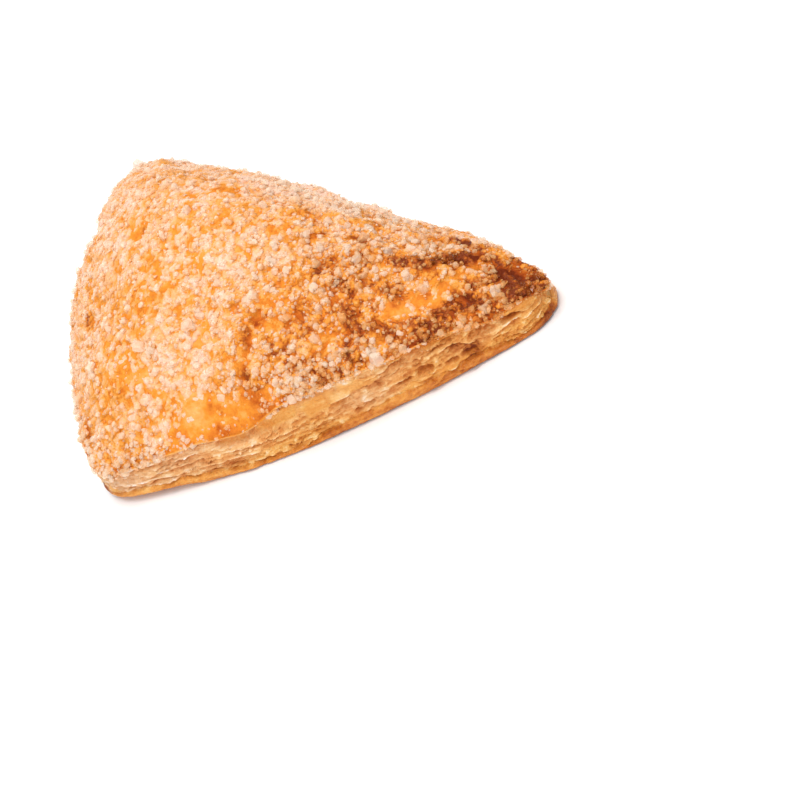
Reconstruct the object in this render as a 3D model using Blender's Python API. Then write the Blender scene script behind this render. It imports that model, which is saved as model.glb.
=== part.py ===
"""A triangular turnover: a square of puff pastry folded on its diagonal over a filling and baked.

The pastry lies flat.  +X runs along the fold, +Y from the square corner towards the fold and +Z up.
The origin is the middle of the footprint, on the surface that the pastry rests on.  All sizes are
in metres.  The whole pastry is one closed solid, carried on rings that run round its outline.
"""
import bmesh
import bpy
import numpy as np

# The folded square
LEG = 0.110                  # nominal length of each of the two cut sides
CUT_BOW_RIGHT = 0.0081       # how far the right cut side bows outwards in the oven
CUT_BOW_LEFT = 0.0082        # the same for the left cut side
FOLD_BOW = 0.0026            # the same for the folded side
ROUND_APEX = 0.0040          # softness of the square corner, where the two cut sides meet
ROUND_RIGHT = 0.0070         # softness of the right end of the fold
ROUND_LEFT = 0.0075          # softness of the left end of the fold
CORNER_SPAN = 3.0            # a corner's softness is felt over this many times itself

# Heights
HEIGHT = 0.0340              # top of the dome
DOME_POWER = 1.93            # how full the dome is: 1 is a cone, 2 a round bowl turned over
DOME_CENTRE = 0.0093         # the dome's peak lies this far towards the fold
DOME_ROUNDING = 0.016        # how far the dome's level lines forget the corners near its peak
EDGE_MIDDLE = 0.0117         # thickness of the cut edge, halfway along
EDGE_APEX = 0.0078           # thickness at the square corner
EDGE_ENDS = 0.0062           # thickness at the two ends of the fold
FOLD_TOP = 0.0124            # height at which the rounded fold turns into the dome
CORNER_REACH = 0.22 * LEG    # how far from a corner its thickness is felt
FOLD_START = 0.12 * LEG      # this far from its two ends the fold is half a fold, half a cut edge
FOLD_BLEND = 0.03 * LEG      # length over which the one turns into the other

# Profile of the cut edge, from the side
RIM_INSET = 0.0010           # the upper crust's rim stands in from the bottom
SEAM_DEPTH = 0.0016          # groove where the two sheets of dough meet
SEAM_LEVEL = 0.47            # height of the groove, as a part of the edge
SEAM_HALF = 0.11             # half the groove's width, as a part of the edge
BASE_CHAMFER = 0.0007        # the bottom skin turns under by this much
CHAMFER_LEVEL = 0.04         # height of that turn, as a part of the edge
FOLD_INSET = 0.0034          # how far the fold's roundness stands in at its top and bottom

# Swells of the filling under the crust: place along X and Y, radius, height
SWELLS = (
    (-0.034, 0.014, 0.017, -0.0002),
    (-0.010, 0.026, 0.014, 0.0002),
    (0.016, 0.012, 0.016, 0.0006),
    (-0.014, -0.012, 0.015, 0.0005),
    (0.004, -0.030, 0.012, 0.0008),
    (0.040, 0.024, 0.012, -0.0014),
    (-0.050, 0.030, 0.011, -0.0024),
    (0.008, 0.036, 0.009, -0.0012),
    (0.049, 0.035, 0.008, -0.0015),
)
SWELL_FADE = 4               # power by which the swells die out towards the rim

# Fineness of the mesh
AROUND = 112
DOME_RINGS = 17
EDGE_RINGS = 15
BASE_RINGS = 3
SHARP_ANGLE = np.radians(50.0)

CRUST_COLOUR = (0.83, 0.46, 0.17)
CRUST_ROUGHNESS = 0.55


def clear_scene():
    """Remove every object that the scene starts with."""
    for thing in list(bpy.data.objects):
        bpy.data.objects.remove(thing, do_unlink=True)


def bowed_side(start, end, bow, count):
    """Points from start up to, but not on, end: a straight side plus a parabola bowed outwards."""
    along = np.linspace(0.0, 1.0, count, endpoint=False)[:, None]
    run = end - start
    outwards = np.array((run[1], -run[0])) / np.linalg.norm(run)
    return start + run * along + outwards * bow * 4.0 * along * (1.0 - along)


def softened(points, spacing, spread):
    """The closed loop of points blurred along its length by a bell curve of the given spread."""
    turns = np.fft.fftfreq(len(points)) * 2.0 * np.pi / spacing
    bell = np.exp(-0.5 * (turns * spread) ** 2)[:, None]
    return np.fft.ifft(np.fft.fft(points, axis=0) * bell, axis=0).real


def footprint():
    """Outline seen from above, anticlockwise from the fold's left end, with its three corners."""
    half_fold = LEG / np.sqrt(2.0)
    left = np.array((-half_fold, half_fold / 2.0))
    right = np.array((half_fold, half_fold / 2.0))
    apex = np.array((0.0, -half_fold / 2.0))
    spacing = (2.0 * LEG + 2.0 * half_fold) / AROUND
    on_leg = round(LEG / spacing)
    sharp = np.vstack((
        bowed_side(left, apex, CUT_BOW_LEFT, on_leg),
        bowed_side(apex, right, CUT_BOW_RIGHT, on_leg),
        bowed_side(right, left, FOLD_BOW, AROUND - 2 * on_leg),
    ))
    corners = (0, on_leg, 2 * on_leg)
    outline = softened(sharp, spacing, ROUND_APEX)
    for corner, softness in zip(corners, (ROUND_LEFT, ROUND_APEX, ROUND_RIGHT)):
        near = np.exp(-0.5 * (steps_from(corner) * spacing / (CORNER_SPAN * softness)) ** 2)[:, None]
        outline = outline * (1.0 - near) + softened(sharp, spacing, softness) * near
    outline -= (outline.min(axis=0) + outline.max(axis=0)) / 2.0
    return outline, corners, spacing


def steps_from(corner):
    """How many outline points lie between each point and the corner, the short way round."""
    return np.abs((np.arange(AROUND) - corner + AROUND / 2.0) % AROUND - AROUND / 2.0)


def outward_normals(outline):
    """Unit vectors that point out of the outline, from each point's two neighbours."""
    along = np.roll(outline, -1, axis=0) - np.roll(outline, 1, axis=0)
    along /= np.linalg.norm(along, axis=1)[:, None]
    return np.column_stack((along[:, 1], -along[:, 0]))


def edge_heights(corners, spacing):
    """Height of the rim round the outline, and how much of each point belongs to the fold."""
    reach = [np.exp(-(steps_from(corner) * spacing / CORNER_REACH) ** 2) for corner in corners]
    cut = EDGE_MIDDLE + (EDGE_ENDS - EDGE_MIDDLE) * (reach[0] + reach[2])
    cut += (EDGE_APEX - EDGE_MIDDLE) * reach[1]
    clear_of_ends = np.minimum(steps_from(corners[0]), steps_from(corners[2])) * spacing
    fold = 1.0 / (1.0 + np.exp((FOLD_START - clear_of_ends) / FOLD_BLEND))
    fold[:corners[2]] = 0.0
    return cut * (1.0 - fold) + FOLD_TOP * fold, fold


def edge_offset(level, fold):
    """How far the side stands out at a level from 0, the base, to 1, the rim.

    A cut edge leans in by the rim's inset, with a bell-shaped groove at the seam and a chamfer at
    the base.  The fold follows a half ellipse.
    """
    seam = SEAM_DEPTH * np.exp(-((level - SEAM_LEVEL) / SEAM_HALF) ** 2)
    turned_under = BASE_CHAMFER * np.exp(-level / CHAMFER_LEVEL)
    cut = -RIM_INSET * level ** 3 - seam - turned_under
    rounded = -FOLD_INSET * (1.0 - np.sqrt(np.maximum(0.0, 1.0 - (2.0 * level - 1.0) ** 2)))
    return cut * (1.0 - fold) + rounded * fold


def swelling(places):
    """Height added by the filling: a bell for each swell."""
    total = np.zeros(len(places))
    for along, across, radius, height in SWELLS:
        away = (places[:, 0] - along) ** 2 + (places[:, 1] - across) ** 2
        total += height * np.exp(-away / radius ** 2)
    return total


def dome_rings(rim, rim_height, peak, spacing):
    """Rings from just beside the peak out to just inside the rim, on a dome that falls to it.

    Each ring is the rim drawn in towards the peak, and blurred the more the nearer it comes.
    """
    from_peak = rim - peak
    blurred = softened(from_peak, spacing, DOME_ROUNDING)
    rings = []
    for share in np.linspace(0.0, 1.0, DOME_RINGS + 2)[1:-1]:
        likeness = share ** 2
        places = peak + (from_peak * likeness + blurred * (1.0 - likeness)) * share
        rise = (HEIGHT - rim_height) * (1.0 - share ** DOME_POWER)
        height = rim_height + rise + swelling(places) * (1.0 - share ** SWELL_FADE)
        rings.append(np.column_stack((places, height)))
    return rings


def edge_rings(outline, normals, rim_height, fold):
    """Rings down the side, from the rim to the edge of the base, close together at both ends."""
    rings = []
    for turn in np.linspace(0.0, np.pi, EDGE_RINGS):
        level = (1.0 + np.cos(turn)) / 2.0
        places = outline + normals * edge_offset(level, fold)[:, None]
        rings.append(np.column_stack((places, rim_height * level)))
    return rings


def base_rings(base_edge, middle):
    """Flat rings from the edge of the base in towards its middle."""
    rings = []
    for share in np.linspace(1.0, 0.0, BASE_RINGS + 2)[1:-1]:
        places = middle + (base_edge[:, :2] - middle) * share
        rings.append(np.column_stack((places, np.zeros(AROUND))))
    return rings


def skin(name, top, rings, bottom, colour, roughness):
    """One closed object: a fan at the top point, quads between the rings, a fan at the bottom."""
    shape = bmesh.new()
    loops = [[shape.verts.new(place) for place in ring] for ring in rings]
    summit = shape.verts.new(top)
    floor = shape.verts.new(bottom)
    for step in range(AROUND):
        after = (step + 1) % AROUND
        shape.faces.new((summit, loops[0][step], loops[0][after]))
        shape.faces.new((floor, loops[-1][after], loops[-1][step]))
        for upper, lower in zip(loops, loops[1:]):
            shape.faces.new((upper[step], lower[step], lower[after], upper[after]))
    bmesh.ops.recalc_face_normals(shape, faces=shape.faces)
    mesh = bpy.data.meshes.new(name)
    shape.to_mesh(mesh)
    shape.free()
    mesh.shade_smooth()
    mesh.set_sharp_from_angle(angle=SHARP_ANGLE)
    solid = bpy.data.objects.new(name, mesh)
    bpy.context.scene.collection.objects.link(solid)
    mesh.materials.append(baked_crust(colour, roughness))
    return solid


def baked_crust(colour, roughness):
    """Golden baked puff pastry."""
    material = bpy.data.materials.new("baked_crust")
    material.use_nodes = True
    shader = material.node_tree.nodes["Principled BSDF"]
    shader.inputs["Base Color"].default_value = (*colour, 1.0)
    shader.inputs["Roughness"].default_value = roughness
    shader.inputs["Metallic"].default_value = 0.0
    return material


def turnover():
    """The pastry: dome, cut edge or fold all round, and flat base."""
    outline, corners, spacing = footprint()
    normals = outward_normals(outline)
    rim_height, fold = edge_heights(corners, spacing)
    side = edge_rings(outline, normals, rim_height, fold)
    middle = np.array((0.0, outline[:, 1].max() - LEG / np.sqrt(8.0)))
    peak = middle + np.array((0.0, DOME_CENTRE))
    dome = dome_rings(side[0][:, :2], rim_height, peak, spacing)
    top = (*peak, HEIGHT + swelling(peak[None])[0])
    base = base_rings(side[-1], middle)
    return skin("turnover", top, dome + side + base, (*middle, 0.0), CRUST_COLOUR, CRUST_ROUGHNESS)


clear_scene()
turnover()
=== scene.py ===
import bmesh
import bpy
import numpy as np
from mathutils import Matrix, Vector
from mathutils.bvhtree import BVHTree


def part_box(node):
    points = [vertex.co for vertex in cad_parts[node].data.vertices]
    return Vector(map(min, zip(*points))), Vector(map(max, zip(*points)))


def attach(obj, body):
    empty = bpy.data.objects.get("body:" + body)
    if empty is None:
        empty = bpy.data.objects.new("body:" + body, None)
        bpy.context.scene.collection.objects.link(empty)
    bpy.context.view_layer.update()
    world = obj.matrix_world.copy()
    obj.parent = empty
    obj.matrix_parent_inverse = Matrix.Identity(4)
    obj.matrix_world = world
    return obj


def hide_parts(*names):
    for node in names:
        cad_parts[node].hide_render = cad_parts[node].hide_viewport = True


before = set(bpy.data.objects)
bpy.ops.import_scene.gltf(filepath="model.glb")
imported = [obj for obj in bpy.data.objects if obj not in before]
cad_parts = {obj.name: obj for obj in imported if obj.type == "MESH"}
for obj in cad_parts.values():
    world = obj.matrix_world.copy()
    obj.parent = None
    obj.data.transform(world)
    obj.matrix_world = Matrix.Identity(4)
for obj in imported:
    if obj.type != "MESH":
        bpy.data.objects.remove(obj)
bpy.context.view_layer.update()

# ---------------------------------------------------------------------------------------------
# The crust.  A square of laminated dough, folded on its diagonal over a filling, washed and baked:
# the top swells into a dome, one side is the rounded fold and the other two are cut.  It is one
# closed skin on rings round the outline, hollowed at the cut sides to leave room for the leaves.

foot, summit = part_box("turnover")
fold_length = summit.x - foot.x
leg = 0.745 * fold_length            # cut side of the folded square, corner to corner
mm = leg / 110.0                     # every finer size is given for a leg of 110 mm

AROUND = 720
outline_step = (2.0 + np.sqrt(2.0)) * leg / AROUND
on_leg = round(leg / outline_step)
LEFT_END, APEX, RIGHT_END = 0, on_leg, 2 * on_leg


def bowed_side(start, end, bow, count):
    """Points from start up to, but not on, end: the straight side plus a parabola bowed outwards."""
    along = np.linspace(0.0, 1.0, count, endpoint=False)[:, None]
    run = end - start
    outwards = np.array((run[1], -run[0])) / np.linalg.norm(run)
    return start + run * along + outwards * bow * 4.0 * along * (1.0 - along)


def softened(loop, spread):
    """The closed loop blurred along its length by a bell curve of the given spread."""
    turns = np.fft.fftfreq(len(loop)) * 2.0 * np.pi / outline_step
    bell = np.exp(-0.5 * (turns * spread) ** 2)[:, None]
    return np.fft.ifft(np.fft.fft(loop, axis=0) * bell, axis=0).real


def away_from(corner):
    """Distance along the outline from each of its points to the corner, the short way round."""
    steps = np.abs((np.arange(AROUND) - corner + AROUND / 2.0) % AROUND - AROUND / 2.0)
    return steps * outline_step


def smooth_step(value, start, end):
    """0 up to start, 1 from end, and a smooth S between them."""
    share = np.clip((value - start) / (end - start), 0.0, 1.0)
    return share * share * (3.0 - 2.0 * share)


def cell_number(cell):
    """One whole number for a lattice cell: its three numbers, each times a prime, mixed by bits."""
    return cell[..., 0] * 73856093 ^ cell[..., 1] * 19349663 ^ cell[..., 2] * 83492791


def clouds(places, size, seed, octaves=3):
    """Smooth chance heights between about -1 and 1.

    Each place mixes the values at the eight corners of its cell in a cubic lattice by smooth
    steps.  Every octave has cells half as large, counts for half as much and is shifted, so that
    their cells don't line up.
    """
    chance = np.random.default_rng(seed).uniform(-1.0, 1.0, 4096)
    total = np.zeros(places.shape[:-1])
    for octave in range(octaves):
        scaled = places / size * 2.0 ** octave + 91.7 * (octave + 1)
        cell = np.floor(scaled).astype(np.int64)
        part = scaled - cell
        part = part * part * (3.0 - 2.0 * part)
        for corner in range(8):
            reach = np.array((corner & 1, corner >> 1 & 1, corner >> 2))
            drawn = chance[cell_number(cell + reach) % len(chance)]
            weight = np.prod(np.where(reach == 1, part, 1.0 - part), axis=-1)
            total += drawn * weight * 0.5 ** octave
    return total * 1.25


def unit(arrows):
    """Each arrow at length 1."""
    return arrows / np.linalg.norm(arrows, axis=-1)[..., None]


NEAR_BOW = 8.1 * mm                      # how far the three sides bow out
FAR_BOW = 8.2 * mm
FOLD_BOW = 2.6 * mm
half_fold = leg / np.sqrt(2.0)
left_corner = np.array((-half_fold, half_fold / 2.0))
right_corner = np.array((half_fold, half_fold / 2.0))
apex_corner = np.array((0.0, -half_fold / 2.0))
sharp_outline = np.vstack((
    bowed_side(left_corner, apex_corner, FAR_BOW, on_leg),
    bowed_side(apex_corner, right_corner, NEAR_BOW, on_leg),
    bowed_side(right_corner, left_corner, FOLD_BOW, AROUND - 2 * on_leg),
))
APEX_SOFTNESS = 4.0 * mm
outline = softened(sharp_outline, APEX_SOFTNESS)
for corner, softness in ((LEFT_END, 7.5 * mm), (APEX, APEX_SOFTNESS), (RIGHT_END, 7.0 * mm)):
    near = np.exp(-0.5 * (away_from(corner) / (3.0 * softness)) ** 2)[:, None]
    outline = outline * (1.0 - near) + softened(sharp_outline, softness) * near
outline -= (outline.min(axis=0) + outline.max(axis=0)) / 2.0
outline += np.array(((foot.x + summit.x) / 2.0, (foot.y + summit.y) / 2.0))

tangent = np.roll(outline, -1, axis=0) - np.roll(outline, 1, axis=0)
tangent /= np.linalg.norm(tangent, axis=1)[:, None]
outwards = np.column_stack((tangent[:, 1], -tangent[:, 0]))

# Rim height and the share of each outline point that belongs to the fold
THINNING = 0.22 * leg                    # how far from a corner the rim starts to sink
near_end = np.minimum(away_from(LEFT_END), away_from(RIGHT_END))
ends = np.exp(-(away_from(LEFT_END) / THINNING) ** 2)
ends += np.exp(-(away_from(RIGHT_END) / THINNING) ** 2)
at_apex = np.exp(-(away_from(APEX) / THINNING) ** 2)
cut_height = (11.7 - 5.5 * ends - 3.9 * at_apex) * mm
fold = smooth_step(near_end, 8.0 * mm, 24.0 * mm)
fold[:RIGHT_END] = 0.0
# Rises and dips of the rim on a cut side: place from the apex, half length and height, in mm
RIM_WAVES = ((36.0, 8.0, -2.4), (57.0, 9.0, 0.5), (93.5, 2.5, -0.5), (101.0, 5.0, 1.2))
from_apex = (np.arange(AROUND) - APEX) * outline_step / mm
FAR_SIDE = 112.0                         # in mm: the far cut side repeats the near one, from here
side_place = np.where(from_apex < 0.0, from_apex + FAR_SIDE, from_apex)
for place, half, rise in RIM_WAVES:
    cut_height = cut_height + rise * mm * np.exp(-((side_place - place) / half) ** 2)
# The fold sags in places: place along X, half length and depth, in mm
FOLD_SAGS = (
    (-50.0, 9.0, 2.0), (-16.0, 9.0, 0.8), (8.0, 8.0, 2.3), (27.0, 5.0, 1.6), (49.0, 7.0, 2.4),
)
FOLD_HEIGHT = 12.4 * mm
fold_height = np.full(AROUND, FOLD_HEIGHT)
for place, half, depth in FOLD_SAGS:
    fold_height -= depth * mm * np.exp(-((outline[:, 0] / mm - place) / half) ** 2)
rim_height = cut_height * (1.0 - fold) + fold_height * fold

# The dome: rings from the peak out to the rim, whose corners soften as they are drawn in, at the
# height of the rim plus what is left to the top times 1 less a power of the share of the way out
DOME_RINGS = 104
DOME_TOP = 34.0 * mm
DOME_POWER = 1.93
PEAK_BACK = 9.3 * mm                     # the peak is nearer to the fold than the middle
middle = np.array((0.0, outline[:, 1].max() - leg / np.sqrt(8.0)))
peak = middle + np.array((0.0, PEAK_BACK))
rim_inset = (1.0 * (1.0 - fold) + 3.4 * fold) * mm
rim = outline - outwards * rim_inset[:, None]
level_outline = np.column_stack((outline, np.zeros(AROUND)))
rim_height = rim_height + clouds(level_outline, 11.0 * mm, 5) * 0.45 * mm
rim = rim + outwards * (clouds(level_outline, 5.0 * mm, 6) * 0.4 * mm)[:, None]
share = np.linspace(0.0, 1.0, DOME_RINGS + 1)[1:, None, None]
from_peak = rim - peak
drawn_in = from_peak * share ** 2 + softened(from_peak, 16.0 * mm) * (1.0 - share ** 2)
dome_xy = peak + drawn_in * share
dome_z = rim_height + (DOME_TOP - rim_height) * (1.0 - share[..., 0] ** DOME_POWER)
dome = np.dstack((dome_xy, dome_z))

# Swells of the filling: place along X and Y, radius and height, in mm
SWELLS = (
    (-34, 14, 17, -0.2), (-10, 26, 14, 0.2), (16, 12, 16, 0.6), (-14, -12, 15, 0.5),
    (4, -30, 12, 0.8), (40, 24, 12, -1.4), (-50, 30, 11, -2.4), (8, 36, 9, -1.2), (49, 35, 8, -1.5),
)
for x, y, radius, height in SWELLS:
    distance = np.hypot(dome[..., 0] - x * mm, dome[..., 1] - y * mm) / (radius * mm)
    dome[..., 2] += height * mm * np.exp(-distance ** 2) * (1.0 - share[..., 0] ** 4)


def facing(grid):
    """Unit normals of a grid of rings that runs outwards and anticlockwise, from its neighbours."""
    round_it = np.roll(grid, -1, axis=1) - np.roll(grid, 1, axis=1)
    across_it = np.gradient(grid, axis=0)
    normal = np.cross(across_it, round_it)
    return normal / np.maximum(np.linalg.norm(normal, axis=-1), 1e-12)[..., None]


def blister(grid, x, y, radius, power):
    """1 at the place and 0 from the radius outwards, as (1 - r^2) raised to the power."""
    distance = np.hypot(grid[..., 0] - x * mm, grid[..., 1] - y * mm) / (radius * mm)
    return np.maximum(0.0, 1.0 - distance ** 2) ** power


def streak(grid, start, end, width):
    """1 along the straight line from start to end and falling off beside it as a bell."""
    origin = np.array(start) * mm
    run = np.array(end) * mm - origin
    reach = grid[..., :2] - origin
    along = np.clip((reach @ run) / (run @ run), 0.0, 1.0)
    distance = np.linalg.norm(reach - along[..., None] * run, axis=-1)
    return np.exp(-(distance / (width * mm)) ** 2)


# Bare blisters, where the top leaf has lifted off: place, radius and height, in mm
BLISTERS = (
    (32.4, -15.6, 3.6, 1.5), (20.4, -20.7, 3.0, 0.6), (27.5, -17.5, 3.2, 0.7),
    (9.0, 15.5, 2.6, 0.6), (-26.0, 24.0, 3.6, 0.8), (53.7, 13.2, 3.4, 0.9),
    (60.2, 21.5, 4.6, 0.9), (-22.0, -20.0, 3.5, 0.9), (-45.0, 12.0, 4.0, 0.8),
    (-40.0, 27.0, 4.0, 0.9), (12.0, 32.0, 3.5, 0.8), (35.1, 9.1, 2.6, 0.5),
)
dome_normal = facing(dome)
inside = 1.0 - share[..., 0] ** 10
relief = clouds(dome, 21.0 * mm, 11, 2) * 0.9          # all relief is in mm
relief += clouds(dome, 8.0 * mm, 12, 2) * 0.45
relief += (1.0 - np.abs(clouds(dome, 5.0 * mm, 13, 2))) ** 2 * 0.45
bare = np.zeros(relief.shape)
for x, y, radius, height in BLISTERS:
    relief += blister(dome, x, y, radius, 1.5) * height
    bare = np.maximum(bare, blister(dome, x, y, radius * 1.15, 0.7))
crease = streak(dome, (47.0, 22.5), (62.0, 30.5), 1.6)
crease += 0.7 * streak(dome, (29.5, -1.0), (30.5, -7.5), 1.0)
relief -= crease * 0.9
terrace = clouds(dome, 13.0 * mm, 14, 3) * 2.2         # the edges of the top leaves, as low steps
relief += (terrace - np.floor(terrace) > 0.12) * 0.12 + np.floor(terrace) * 0.22
dome += dome_normal * (relief * inside * mm)[..., None]

# Lines along which the dome is browner or paler: from, to, half width in mm, and by how much
BROWNED = (
    ((64.5, 34.5), (70.0, 33.0), 2.2, 0.50), ((67.0, 31.5), (69.5, 29.0), 1.6, 0.34),
    ((64.5, 31.0), (64.0, 24.0), 0.8, 0.50), ((64.0, 24.0), (61.5, 19.0), 1.3, 0.26),
    ((61.8, 19.0), (59.8, 13.0), 1.9, 0.40), ((66.0, 23.0), (70.5, 28.0), 1.4, 0.20),
    ((59.5, 31.5), (57.0, 27.0), 0.9, 0.85), ((57.0, 27.0), (54.5, 22.5), 1.1, 0.80),
    ((54.0, 22.3), (49.5, 22.5), 1.2, 0.35), ((53.0, 30.5), (58.5, 32.5), 0.7, 0.60),
    ((59.0, 11.5), (54.0, 6.5), 1.8, 0.24), ((51.5, 2.4), (46.5, 0.8), 0.8, 0.35),
    ((46.5, 0.8), (43.5, -2.5), 0.9, 0.30), ((38.0, -10.5), (32.0, -12.0), 2.2, 0.16),
    ((38.0, -5.0), (31.0, -6.0), 3.0, 0.10), ((30.2, 0.3), (29.4, -3.0), 0.6, 0.20),
    ((29.4, -3.0), (30.4, -10.5), 0.5, 0.14), ((25.6, -19.3), (26.4, -21.4), 0.9, 0.30),
    ((47.0, 19.0), (47.0, 9.0), 3.5, 0.10), ((55.0, 17.0), (53.0, 15.5), 1.2, 0.14),
    ((4.0, 18.5), (9.0, 19.0), 0.8, 0.15), ((-25.5, -12.8), (-20.0, -15.5), 0.8, 0.28),
    ((-8.0, -33.3), (-3.5, -34.6), 0.8, 0.30), ((15.0, -18.5), (16.5, -17.5), 0.8, 0.12),
    ((-13.0, 5.0), (-10.5, 3.0), 1.5, 0.12), ((0.0, 13.0), (2.5, 12.0), 0.8, 0.14),
    ((58.0, 19.5), (57.0, 16.0), 1.3, -0.26), ((56.5, 14.5), (51.5, 11.5), 1.3, -0.22),
    ((60.5, 29.0), (59.5, 22.5), 0.9, -0.10), ((33.0, -15.0), (21.0, -20.5), 3.0, -0.05),
    ((-8.0, -24.0), (16.0, -24.0), 6.0, 0.05), ((8.0, 27.0), (44.0, 28.0), 4.0, -0.14),
    # Paler along the fold's top edge: whiter sugar there and a painted sheen where the top turns away
    ((-5.0, 36.0), (36.0, 36.0), 2.5, -0.22),
)
# How browned the dome is: evenly to the left, more from the middle on to the right end
patches = clouds(dome, 3.0 * mm, 22)
toast = 0.42 + 0.06 * clouds(dome, 9.0 * mm, 21) + 0.05 * patches
toast += (0.16 + 0.06 * patches) * smooth_step(dome[..., 0], 19.0 * mm, 46.0 * mm)
toast += 0.12 * smooth_step(share[..., 0], 0.96, 1.0)
stray = np.stack([clouds(dome, 4.0 * mm, 23 + axis) for axis in (0, 1)], axis=-1)
strayed = dome[..., :2] + stray * 1.3 * mm
for start, end, width, amount in BROWNED:
    toast += 0.80 * amount * streak(strayed, start, end, width * 1.3) * (0.75 + 0.5 * patches)

# The side: a profile from the rim down to the base, as outward offset and share of the rim's
# height.  On a cut side it is an eave, a hollowed wall and a bottom lip, on the fold half a round
EAVE = 0.9 * mm
FOLD_ROUND = 3.4 * mm
LIP_OUT = 1.0 * mm                       # the bottom lip stands this far inside the outline
LIP_PLACES = (0, 20, 27, 31, 38, 48, 53, 58, 70, 84, 90, 98, 104, 112)
LIP_HEIGHTS = (2.6, 2.6, 1.9, 1.1, 0.8, 0.8, 1.6, 2.2, 2.3, 2.2, 1.6, 1.1, 1.4, 2.6)
lip = np.interp(side_place, LIP_PLACES, LIP_HEIGHTS) * mm
at_corner = np.exp(-(away_from(APEX) / (5.0 * mm)) ** 2)
hollow = (2.6 - 1.9 * at_corner) * mm
wall_top = 1.0 - 1.5 * EAVE / rim_height
lip_top = lip / rim_height
cut_profile = [
    (-rim_inset + 0.12 * mm, 1.0 - 0.35 * EAVE / rim_height),
    (-rim_inset - 0.05 * mm, 1.0 - 0.75 * EAVE / rim_height),
    (-rim_inset - 0.5 * mm, 1.0 - 1.0 * EAVE / rim_height),
    (-rim_inset - 0.55 * hollow, 1.0 - 1.15 * EAVE / rim_height),
    (-rim_inset - hollow, wall_top),
]
for sunk in np.linspace(0.0, 1.0, 8)[1:]:
    wall_level = wall_top * (1.0 - sunk) + 1.35 * lip_top * sunk
    cut_profile.append((-hollow - rim_inset * (1.0 - sunk), wall_level))
cut_profile += [
    (-0.45 * hollow, 1.1 * lip_top),
    (-1.7 * LIP_OUT, 1.0 * lip_top),
    (-1.15 * LIP_OUT, 0.8 * lip_top),
    (-1.0 * LIP_OUT, 0.5 * lip_top),
    (-1.0 * LIP_OUT, 0.18 * lip_top),
    (-1.1 * LIP_OUT, 0.0 * lip_top),
]
END_DRAWN_IN = 1.9 * mm                  # the lower leaves stop short of the upper at both ends
side = []
for step, (offset, level) in enumerate(cut_profile):
    turn = np.pi * (step + 1) / len(cut_profile)
    round_level = (1.0 + np.cos(turn)) / 2.0
    round_offset = -FOLD_ROUND * (1.0 - np.sin(turn))
    stands = offset * (1.0 - fold) + round_offset * fold
    stands = stands - END_DRAWN_IN * smooth_step(near_end, 11.0 * mm, 3.0 * mm) * (1.0 - level)
    height = (level * (1.0 - fold) + round_level * fold) * rim_height
    side.append(np.column_stack((outline + outwards * stands[:, None], height)))
side = np.array(side)

# The fold is wrinkled and the bottom lip wavy
wrinkle_at = np.dstack((side[..., 0] * 0.25, side[..., 1] * 0.25, side[..., 2] * 2.0))
wrinkle = clouds(wrinkle_at, 5.0 * mm, 31) * fold * 0.9 * mm
lip_wave = clouds(np.dstack((side[..., :2], side[..., 2] * 0.0)), 6.0 * mm, 32) * 0.45 * mm
lip_rows = np.zeros(len(cut_profile))
lip_rows[-6:] = (0.3, 0.8, 1.0, 1.0, 1.0, 0.8)
push = wrinkle + lip_wave * lip_rows[:, None] * (1.0 - fold)
side[..., :2] += outwards * push[..., None]

# How browned the bottom lip is along a cut side, and the fold from its top down
down = np.linspace(0.0, 1.0, len(cut_profile))[:, None]
LIP_TOAST_PLACES = (0, 30, 52, 60, 84, 98, 104, 112)
LIP_TOAST = (0.30, 0.34, 0.50, 0.40, 0.42, 0.55, 0.72, 0.36)
lip_browning = np.interp(side_place, LIP_TOAST_PLACES, LIP_TOAST)
side_toast = lip_browning + 0.1 * clouds(side, 5.0 * mm, 33) + 0.2 * smooth_step(down, 0.8, 1.0)
fold_toast = 0.26 + 0.42 * down + 0.10 * clouds(side, 5.0 * mm, 33)
fold_toast += 0.10 * clouds(side, 1.6 * mm, 34)
side_toast = side_toast * (1.0 - fold) + fold_toast * fold
side_bare = np.zeros(side_toast.shape) + (1.0 - fold)

# The base, flat on what it lies on
BASE_RINGS = 14
inward = np.linspace(1.0, 0.0, BASE_RINGS + 2)[1:-1, None, None]
base_xy = middle + (side[-1, :, :2] - middle) * inward
base = np.dstack((base_xy, np.zeros(base_xy.shape[:2])))
base_toast = 0.62 + 0.16 * clouds(base, 12.0 * mm, 41) + 0.08 * clouds(base, 3.0 * mm, 42)

skin = np.concatenate((dome, side, base))
skin_toast = np.concatenate((toast, side_toast, base_toast))
skin_bare = np.concatenate((bare, side_bare, np.ones(base_toast.shape)))
APEX_LIFT = 1.2 * mm                     # the apex curls up off what it lies on
from_tip = np.hypot(skin[..., 0] - outline[APEX, 0], skin[..., 1] - outline[APEX, 1])
lift = APEX_LIFT * smooth_step(from_tip, 27.0 * mm, 14.0 * mm)
skin[..., 2] = np.maximum(skin[..., 2], 0.0)
skin[..., 2] += lift * np.clip(1.0 - skin[..., 2] / (2.6 * mm), 0.0, 1.0)


def ring_faces(rings, around):
    """Triangles that join each ring of points to the next, closed all round."""
    first = np.arange(rings - 1)[:, None] * around + np.arange(around)
    beside = np.arange(rings - 1)[:, None] * around + (np.arange(around) + 1) % around
    lower = np.stack((first, first + around, beside + around), axis=-1)
    upper = np.stack((first, beside + around, beside), axis=-1)
    return np.concatenate((lower.reshape(-1, 3), upper.reshape(-1, 3)))


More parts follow.
